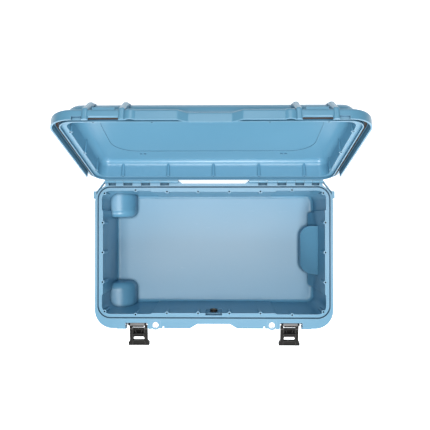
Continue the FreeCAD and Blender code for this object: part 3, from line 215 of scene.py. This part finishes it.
# %% Black plastic
def black_plastic(name, dark, pale, shine):
    material, place = new_finish(name)
    # The grey is both dust and a painted highlight on edges; the near black is painted shade in hollows.
    dust_and_highlight_grey, unlit = (0.110, 0.106, 0.102, 1), (0.002, 0.002, 0.002, 1)
    drift = cloud(place, scale=18.0, detail=4.0)
    grain = pebble(place, scale=1500.0)
    dust = sharpen(place, cloud(place, scale=240.0, detail=5.0), low=0.58, high=0.80)
    base = between(place, drift, dark, pale)
    # Dust and a painted edge highlight lighten the colour, then painted shade darkens the hollows.
    dusty_and_highlit = between(place, 0.15 * dust + 0.60 * edge(place, reach=0.0014), base, dust_and_highlight_grey)
    colour = between(place, hollow(place, reach=0.004), unlit, dusty_and_highlit)
    rough = 0.42 + 0.14 * drift + 0.12 * dust
    surface(place, {"Base Color": colour, "Roughness": rough, "Specular IOR Level": shine,
                    "Normal": raised(place, grain, depth=0.00010, strength=0.45)})
    return material


black_fittings = black_plastic("black_plastic", (0.006, 0.006, 0.006, 1), (0.013, 0.012, 0.011, 1), shine=0.12)
# The latch bars' pale shiny black is a painted highlight on their tops.
bar_painted_highlight = black_plastic("bar_painted_highlight", (0.130, 0.122, 0.118, 1), (0.170, 0.160, 0.155, 1), shine=0.50)
print("Made", black_fittings.name, "and", bar_painted_highlight.name)

# %% [markdown]
# ## Rubber
# The gasket is a foamed strip, the carry grip and the valve's washer are soft moulded rubber, and the tyres are a
# harder one. They share a recipe: a dull dark surface with fine pores. Each has its own tint, pore size and dust.

# %% Gasket, grips and tyres
def rubber(name, dark, pale, pores, dustiness):
    material, place = new_finish(name)
    dust_tint = (0.16, 0.15, 0.14, 1)
    drift = cloud(place, scale=30.0, detail=3.0)
    pore = pebble(place, scale=pores)
    dust = sharpen(place, cloud(place, scale=160.0, detail=6.0), low=0.50, high=0.78)
    base = between(place, drift, dark, pale)
    surface(place, {"Base Color": between(place, dustiness * dust, base, dust_tint), "Roughness": 0.66 + 0.18 * drift,
                    "Normal": raised(place, pore, depth=0.00020, strength=0.5)})
    return material


gasket_foam = rubber("gasket_foam", (0.020, 0.012, 0.009, 1), (0.034, 0.021, 0.016, 1), pores=1300.0, dustiness=0.05)
grip_rubber = rubber("grip_rubber", (0.014, 0.014, 0.014, 1), (0.026, 0.025, 0.024, 1), pores=1700.0, dustiness=0.12)
tyre_rubber = rubber("tyre_rubber", (0.018, 0.018, 0.018, 1), (0.034, 0.033, 0.032, 1), pores=1100.0, dustiness=0.30)
print("Made three rubbers")

# %% [markdown]
# ## Metals
# The tubes are drawn aluminium, so their fine lines run along X. Pins, axles, screws and eyes are turned or drawn
# steel, with lines round or along them. A stretched noise gives both: it is squeezed hard across the lines and
# barely along them. The vent in the valve is a little disc of sintered brass, which is grainy all over.

# %% Aluminium, steel and brass
def drawn_metal(name, dark, pale, stretch, rough):
    material, place = new_finish(name)
    tarnish_tint = (0.22, 0.20, 0.19, 1)
    lines = cloud(place, scale=1.0, detail=4.0, stretch=stretch)
    tarnish = sharpen(place, cloud(place, scale=60.0, detail=5.0), low=0.52, high=0.80)
    base = between(place, lines, dark, pale)
    colour = between(place, 0.35 * tarnish, base, tarnish_tint)
    surface(place, {"Base Color": colour, "Metallic": 1.0, "Roughness": rough + 0.16 * lines + 0.15 * tarnish,
                    "Normal": raised(place, lines, depth=0.00004, strength=0.35)})
    return material


def sintered_brass():
    material, place = new_finish("sintered_brass")
    beads = pebble(place, scale=2400.0)
    stain = cloud(place, scale=300.0, detail=3.0)
    colour = between(place, stain, (0.16, 0.10, 0.045, 1), (0.34, 0.23, 0.10, 1))
    surface(place, {"Base Color": colour, "Metallic": 1.0, "Roughness": 0.42 + 0.25 * beads,
                    "Normal": raised(place, 1 - beads, depth=0.00025, strength=0.8)})
    return material


tube_aluminium = drawn_metal("tube_aluminium", (0.42, 0.43, 0.45, 1), (0.60, 0.61, 0.63, 1),
                             stretch=(8, 1400, 1400), rough=0.26)
bright_steel = drawn_metal("bright_steel", (0.46, 0.46, 0.47, 1), (0.66, 0.66, 0.67, 1),
                           stretch=(60, 900, 900), rough=0.24)
vent_brass = sintered_brass()
print("Made three metals")

# %% [markdown]
# ## Which solid is made of what
# A solid's finish goes into its own material slots, so the mesh is left as it came. The table is by the first words
# of each name, because left and right or front and back are always the same stuff.

# %% Dress the solids
finishes = {"base_": blue_shell, "padlock_lug": blue_shell, "lid_shell": blue_shell, "lid_gasket": gasket_foam,
            "latch_lever": black_fittings, "latch_claw_pin": bright_steel, "latch_claw": black_fittings,
            "latch_lock": black_fittings, "latch_pin": bright_steel, "hinge_pin": bright_steel,
            "padlock_eye": bright_steel, "carry_handle_frame": black_fittings, "carry_handle_grip": grip_rubber,
            "carry_handle_pins": bright_steel, "outer_tube": tube_aluminium, "middle_tube": tube_aluminium,
            "inner_tube": tube_aluminium, "pull_": black_fittings, "tube_guide": black_fittings,
            "tube_foot": black_fittings, "tray_cover": black_fittings, "cover_screws": bright_steel,
            "wheel_tyre": tyre_rubber, "wheel_hub": black_fittings, "wheel_bearings": bright_steel,
            "wheel_axle": bright_steel, "valve_body": black_fittings, "valve_nut": black_fittings,
            "valve_seal": grip_rubber, "valve_vent": vent_brass}
for node_name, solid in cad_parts.items():
    first_words = max((key for key in finishes if node_name.startswith(key)), key=len)
    for slot in solid.material_slots:
        slot.material = finishes[first_words]
print("Dressed", len(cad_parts), "solids")

# %% [markdown]
# ## Small details
# A few small forms are worth more than texture: the soft gasket in the lid, the slots at the hinge, the recesses and
# bars at the latches, the tread round the tyres, the ridges that a thumb feels on the release button, and the grip
# notches round the valve's cap. Each starts from a plain primitive or from a copy of its solid. Edit-mode tools and
# modifiers then turn it into the piece, and it rides on the body that carries it, so it moves with the joint.

# %% Tools for small details
soft_angle = math.radians(35)


def start_piece(name, finish):
    """Names the primitive that was just added and gives it its finish."""
    piece = bpy.context.object
    piece.name = name
    piece.data.name = name
    piece.data.materials.append(finish)
    return piece


def freeze(piece):
    """Writes the place, turn and size of the piece, which is the selected one, into its mesh."""
    bpy.ops.object.transform_apply(location=True, rotation=True, scale=True)
    return piece


def block(name, finish, size, place):
    """A named cube, stretched to its size at its place."""
    bpy.ops.object.select_all(action="DESELECT")
    bpy.ops.mesh.primitive_cube_add(size=1.0, location=place)
    piece = start_piece(name, finish)
    piece.scale = size
    return freeze(piece)


def round_edges(radius):
    """Bevels every edge of the active mesh."""
    bpy.ops.object.mode_set(mode="EDIT")
    bpy.ops.mesh.select_all(action="SELECT")
    bpy.ops.mesh.bevel(offset=radius, segments=3, affect="EDGES")
    bpy.ops.object.mode_set(mode="OBJECT")


def add_modifier(piece, kind, **settings):
    """Adds one modifier, sets it and applies it at once."""
    modifier = piece.modifiers.new(kind.lower(), kind)
    for name, value in settings.items():
        setattr(modifier, name, value)
    bpy.ops.object.modifier_apply(modifier=modifier.name)


def tidy_normals():
    """Turns every face of the active mesh outwards and softens only the shallow edges."""
    bpy.ops.object.mode_set(mode="EDIT")
    bpy.ops.mesh.select_all(action="SELECT")
    bpy.ops.mesh.normals_make_consistent(inside=False)
    bpy.ops.object.mode_set(mode="OBJECT")
    bpy.ops.object.shade_smooth_by_angle(angle=soft_angle)


def corners(node_name):
    """The lowest and the highest corner of a solid's box."""
    return [Vector(corner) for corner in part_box(node_name)]


print("Tools ready")

# %% [markdown]
# ### Lid gasket
# The gasket is a soft round cord in the lid's groove, and it stands a little proud of it. A flat plane with rounded
# corners gives its path: its face is deleted, and the loop that is left becomes a curve with a round section. The
# cord is made where the closed lid has it, then turned about the hinge with the open lid. A closed lid presses the
# real gasket back into its groove, but this cord keeps its round section.

# %% Gasket cord
cord_radius, groove_depth, cord_sink = 0.0028, 0.0045, 0.0012
path_half_x, path_half_y, path_corner = 0.2729, 0.1561, 0.0331
corner_steps, section_steps = 14, 5
hinge_line, seat_height, lid_turn = Vector((0, 0.167, 0.183)), 0.1834, math.radians(-105)
open_turn = Matrix.Rotation(lid_turn, 4, "X")


def open_with_lid(piece):
    """Turns a piece that was made on the closed lid to where the open lid has it."""
    piece.matrix_world = Matrix.Translation(hinge_line) @ open_turn @ Matrix.Translation(-hinge_line)
    freeze(piece)


bpy.ops.object.select_all(action="DESELECT")
bpy.ops.mesh.primitive_plane_add(size=2.0, location=(0, 0, seat_height + cord_sink))
gasket = start_piece("gasket_cord", gasket_foam)
gasket.scale = (path_half_x, path_half_y, 1)
freeze(gasket)
bpy.ops.object.mode_set(mode="EDIT")
bpy.ops.mesh.select_all(action="SELECT")
bpy.ops.mesh.bevel(offset=path_corner, segments=corner_steps, affect="VERTICES")
bpy.ops.mesh.delete(type="ONLY_FACE")
bpy.ops.object.mode_set(mode="OBJECT")
bpy.ops.object.convert(target="CURVE")
gasket.data.bevel_depth = cord_radius
gasket.data.bevel_resolution = section_steps
bpy.ops.object.convert(target="MESH")
gasket.data.materials.append(gasket_foam)
open_with_lid(gasket)
tidy_normals()
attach(gasket, "lid")
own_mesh(gasket)
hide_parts("lid_gasket")
print(gasket.name, len(gasket.data.polygons), "faces")

# %% [markdown]
# ### Hinge slots
# The lid's knuckles need room to turn, so the back of the base's rim has a slot in front of each. The slots are
# cubes that are joined to one cutter.

# %% Cutter for the slots in front of the lid's knuckles
knuckle_spans = ((0.1036, 0.1238), (0.1478, 0.1680), (0.1891, 0.2092), (0.2275, 0.2437))
slot_room, slot_y, slot_z = 0.0003, (0.1549, 0.1602), (0.1766, 0.1840)
bpy.ops.object.select_all(action="DESELECT")
cubes = []
for side in (-1, 1):
    for start, end in knuckle_spans:
        middle = (side * (start + end) / 2, sum(slot_y) / 2, sum(slot_z) / 2)
        bpy.ops.mesh.primitive_cube_add(size=1.0, location=middle)
        cube = bpy.context.object
        cube.scale = (end - start + 2 * slot_room, slot_y[1] - slot_y[0], slot_z[1] - slot_z[0])
        cubes.append(cube)
print("Slots to cut:", len(cubes))
for cube in cubes:
    cube.select_set(True)
bpy.ops.object.join()
cutter = freeze(bpy.context.object)

# %% [markdown]
# The cutter is taken out of a merged copy of the base. Area-weighted normals keep the large flat faces even. The
# copy stands for the solid only if it kept the solid's size and, but for the slots, its area.

# %% Base with slots
merge_distance, slot_soft_angle, flat_weight = 0.000001, math.radians(25), 100
size_limit, area_limit = 0.00001, 0.01
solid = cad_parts["base_shell"]
base = solid.copy()
base.data = solid.data.copy()
base.name = "base_with_slots"
bpy.context.scene.collection.objects.link(base)
bpy.ops.object.select_all(action="DESELECT")
base.select_set(True)
bpy.context.view_layer.objects.active = base
bpy.ops.object.mode_set(mode="EDIT")
bpy.ops.mesh.select_all(action="SELECT")
bpy.ops.mesh.remove_doubles(threshold=merge_distance)
bpy.ops.object.mode_set(mode="OBJECT")
add_modifier(base, "BOOLEAN", operation="DIFFERENCE", object=cutter, solver="EXACT")
bpy.data.objects.remove(cutter)
bpy.ops.mesh.customdata_custom_splitnormals_clear()
bpy.ops.object.shade_smooth_by_angle(angle=slot_soft_angle)
add_modifier(base, "WEIGHTED_NORMAL", mode="FACE_AREA", weight=flat_weight, keep_sharp=True)
size_change = (Vector(base.dimensions) - Vector(solid.dimensions)).length
area_share = sum(face.area for face in base.data.polygons) / sum(face.area for face in solid.data.polygons)
if size_change < size_limit and abs(area_share - 1) < area_limit:
    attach(base, "case")
    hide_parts("base_shell")
    print(base.name, len(base.data.polygons), "faces,", round(area_share, 4), "of the solid's area")
else:
    bpy.data.objects.remove(base)
    print("the slots were left out")

# %% [markdown]
# ### Skirt recesses
# Beside each latch the lid's skirt has a shallow recess, not a hole. A thin wall behind the cut closes it. It is a
# flat block with rounded edges, made where the closed lid has it, with its face inset and pushed in a little so
# that it has a rim, and turned about the hinge like the gasket.

# %% Walls behind the skirt recesses
recess_x, recess_y, recess_z = 0.21905, -0.17690, 0.1730
recess_size, rim_width, rim_depth, rim_round = (0.0277, 0.0007, 0.0064), 0.0008, 0.0002, 0.0001
facing_front = -0.9
for hand, side in (("left", -1), ("right", 1)):
    wall = block("skirt_recess_wall_" + hand, blue_shell, recess_size, (side * recess_x, recess_y, recess_z))
    for face in wall.data.polygons:
        face.select = face.normal.y < facing_front
    bpy.ops.object.mode_set(mode="EDIT")
    bpy.ops.mesh.select_mode(type="FACE")
    bpy.ops.mesh.inset(thickness=rim_width, depth=-rim_depth)
    bpy.ops.object.mode_set(mode="OBJECT")
    add_modifier(wall, "BEVEL", width=rim_round, segments=2, limit_method="ANGLE")
    open_with_lid(wall)
    tidy_normals()
    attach(wall, "lid")
    print(wall.name, len(wall.data.polygons), "faces")

# %% [markdown]
# ### Latch bars
# Each lever turns on a pin in a stout bar. In front of the pin the bar has a bevelled pad, made where the closed
# lever has it and then turned about the pin with the open lever. Over the pin it has a flat that is painted paler
# and shinier than the rest as a highlight, thin enough to stay clear of the pin. That one is made in place.

# %% Pads on the latch bars
pad_size, pad_place, pad_round = (0.0284, 0.0056, 0.0058), (0, -0.0050, 0.0059), 0.0009
lever_turn = Matrix.Rotation(math.radians(100), 4, "X")
for hand in ("left", "right"):
    low, high = corners("latch_pin_" + hand)
    pad = block("latch_bar_pad_" + hand, black_fittings, pad_size, pad_place)
    round_edges(pad_round)
    pad.matrix_world = Matrix.Translation((low + high) / 2) @ lever_turn
    freeze(pad)
    tidy_normals()
    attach(pad, "latch_" + hand)
    print(pad.name, len(pad.data.polygons), "faces")

# %% Painted highlight flats on the latch bars
flat_size, flat_place, flat_round = (0.0340, 0.0062, 0.00185), Vector((0, -0.0002, 0.00322)), 0.0007
for hand in ("left", "right"):
    low, high = corners("latch_pin_" + hand)
    # The flat is a pale sheet that stands for a painted highlight on the bar's top.
    flat = block("latch_bar_highlight_flat_" + hand, bar_painted_highlight, flat_size, (low + high) / 2 + flat_place)
    round_edges(flat_round)
    tidy_normals()
    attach(flat, "latch_" + hand)
    print(flat.name, len(flat.data.polygons), "faces")

# %% [markdown]
# ### Tyre tread
# A tread is a band of raised blocks. The band starts as an open tube that hugs the tyre. Insetting every face by
# itself leaves a block in each, and pushing the blocks out along their normals leaves the grooves between them.
# Solidify then gives the band a body, so that it isn't a sheet of paper.

# %% Tread bands
tread_width, tread_blocks, tread_gap = 0.014, 44, 0.0001
groove_half, block_height, block_round, band_wall = 0.00055, 0.0009, 0.00018, 0.0016
for end in ("front", "back"):
    low, high = corners("wheel_tyre_" + end)
    radius = (high.z - low.z) / 2 + tread_gap
    bpy.ops.object.select_all(action="DESELECT")
    bpy.ops.mesh.primitive_cylinder_add(vertices=tread_blocks, radius=radius, depth=tread_width,
                                        end_fill_type="NOTHING", location=(low + high) / 2,
                                        rotation=(math.radians(90), 0, 0))
    tread = freeze(start_piece("tyre_tread_" + end, tyre_rubber))
    bpy.ops.object.mode_set(mode="EDIT")
    bpy.ops.mesh.select_all(action="SELECT")
    bpy.ops.mesh.inset(thickness=groove_half, use_individual=True)
    bpy.ops.transform.shrink_fatten(value=block_height)
    bpy.ops.object.mode_set(mode="OBJECT")
    add_modifier(tread, "SOLIDIFY", thickness=band_wall, offset=-1.0)
    add_modifier(tread, "BEVEL", width=block_round, segments=2, limit_method="ANGLE")
    tidy_normals()
    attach(tread, "wheel_" + end)
    print(tread.name, len(tread.data.polygons), "faces")

# %% [markdown]
# ### Thumb ridges
# The button has a few raised bars so that a thumb doesn't slip. One bar is a stretched cube with rounded edges, and
# an array repeats it up the button's face.

# %% Ridges on the release button
ridge_count, ridge_pitch, ridge_thick, ridge_rise, ridge_round = 4, 0.0026, 0.0011, 0.0012, 0.0004
ridge_share = 0.62
low, high = corners("pull_button")
lowest_ridge = Vector((high.x, (low.y + high.y) / 2, (low.z + high.z - (ridge_count - 1) * ridge_pitch) / 2))
ridge_size = (ridge_rise, (high.y - low.y) * ridge_share, ridge_thick)
ridges = block("button_ridges", black_fittings, ridge_size, lowest_ridge)
add_modifier(ridges, "BEVEL", width=ridge_round, segments=3)
add_modifier(ridges, "ARRAY", count=ridge_count, use_relative_offset=False, use_constant_offset=True,
             constant_offset_displace=(0, 0, ridge_pitch))
tidy_normals()
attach(ridges, "pull_release")
print(ridges.name, len(ridges.data.polygons), "faces")

# %% [markdown]
# ### Valve cap
# The cap is turned by hand, so its rim is notched. The ring starts as a tube; every second face round it is pushed
# out by a little, which leaves the notches between.

# %% Grip ring on the valve cap
ring_faces, ring_depth, ring_gap, ring_inset = 36, 0.0026, 0.0001, 0.0018
tooth_height, tooth_round, ring_wall = 0.0007, 0.00012, 0.0008
low, high = corners("valve_body")
bpy.ops.object.select_all(action="DESELECT")
bpy.ops.mesh.primitive_cylinder_add(vertices=ring_faces, radius=(high.x - low.x) / 2 + ring_gap, depth=ring_depth,
                                    end_fill_type="NOTHING", rotation=(math.radians(90), 0, 0),
                                    location=((low.x + high.x) / 2, low.y + ring_inset, (low.z + high.z) / 2))
cap_ring = freeze(start_piece("valve_cap_ring", black_fittings))
for face in cap_ring.data.polygons:
    face.select = face.index % 2 == 0
bpy.ops.object.mode_set(mode="EDIT")
bpy.ops.mesh.select_mode(type="FACE")
bpy.ops.mesh.extrude_faces_move(TRANSFORM_OT_shrink_fatten={"value": tooth_height})
bpy.ops.object.mode_set(mode="OBJECT")
add_modifier(cap_ring, "SOLIDIFY", thickness=ring_wall, offset=-1.0)
add_modifier(cap_ring, "BEVEL", width=tooth_round, segments=2, limit_method="ANGLE")
tidy_normals()
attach(cap_ring, "case")
print(cap_ring.name, len(cap_ring.data.polygons), "faces")

# %% [markdown]
# ## The camera
# The photograph was taken from almost straight above, about 1.4 m over the ground, a touch to the right of the
# case's middle and towards the hinges. The lens comes from how quickly the walls shrink with depth: 516 image
# points of focal length on a picture 430 points wide. The tilt is under one degree each way.

# %% Place the camera
picture_width, focal_points, film_width = 430, 516.28, 36.0
camera_place, tilt, roll = (0.0211, 0.0804, 1.3788), math.radians(0.30), math.radians(-0.86)
camera_data = bpy.data.cameras.new("photo_camera")
camera_data.sensor_width = film_width
camera_data.lens = focal_points / picture_width * film_width
camera = bpy.data.objects.new("photo_camera", camera_data)
bpy.context.scene.collection.objects.link(camera)
forward = Vector((math.sin(roll) * math.cos(tilt), math.sin(tilt), -math.cos(roll) * math.cos(tilt)))
right = Vector((math.cos(roll), 0, math.sin(roll)))
upward = right.cross(forward)
turn = Matrix((right, upward, -forward)).transposed().to_4x4()
camera.matrix_world = Matrix.Translation(camera_place) @ turn
bpy.context.scene.camera = camera
print("Camera at", camera_place, "lens", round(camera_data.lens, 2))

# %% [markdown]
# ## Studio
# Catalogue pictures are lit by soft boxes and stand on a white sweep. Here a wide box hangs over the object, one as
# strong lights it from the front, and a weak one from behind. The floor glows a little, which stands for the
# sweep's own lighting and keeps the shadow under the case faint.

# %% Floor
def white_sweep(glow):
    material, place = new_finish("white_sweep")
    drift = cloud(place, scale=1.5, detail=2.0)
    surface(place, {"Base Color": between(place, drift, (0.90, 0.90, 0.90, 1), (0.93, 0.93, 0.93, 1)),
                    "Roughness": 0.8, "Emission Color": (1, 1, 1, 1), "Emission Strength": glow})
    return material


floor_size, floor_drop = 8.0, 0.0005
bpy.ops.object.select_all(action="DESELECT")
bpy.ops.mesh.primitive_plane_add(size=floor_size, location=(0, 0, -floor_drop))
floor = freeze(bpy.context.object)
floor.name = "floor"
floor.data.materials.append(white_sweep(glow=0.75))
print("Floor", floor_size, "m wide")

# %% Light
air_strength = 0.10


def soft_box(name, place, aim, width, depth, watts):
    """A rectangular light at a place, turned towards its aim."""
    data = bpy.data.lights.new(name, "AREA")
    data.shape = "RECTANGLE"
    data.size = width
    data.size_y = depth
    data.energy = watts
    lamp = bpy.data.objects.new(name, data)
    bpy.context.scene.collection.objects.link(lamp)
    lamp.location = place
    lamp.rotation_euler = (Vector(aim) - Vector(place)).to_track_quat("-Z", "Y").to_euler()


world = bpy.data.worlds.new("studio_air")
world.use_nodes = True
world.node_tree.nodes["Background"].inputs["Color"].default_value = (1, 1, 1, 1)
world.node_tree.nodes["Background"].inputs["Strength"].default_value = air_strength
bpy.context.scene.world = world
soft_box("top_box", place=(0.00, -0.05, 2.4), aim=(0.0, -0.05, 0.1), width=1.6, depth=0.8, watts=46.0)
soft_box("front_box", place=(0.05, -1.9, 1.35), aim=(0.0, 0.25, 0.35), width=0.8, depth=0.8, watts=52.0)
soft_box("back_box", place=(0.00, 1.7, 2.2), aim=(0.0, 0.25, 0.5), width=1.0, depth=1.0, watts=11.0)
bpy.context.scene.view_settings.view_transform = "Standard"
print("Studio ready")
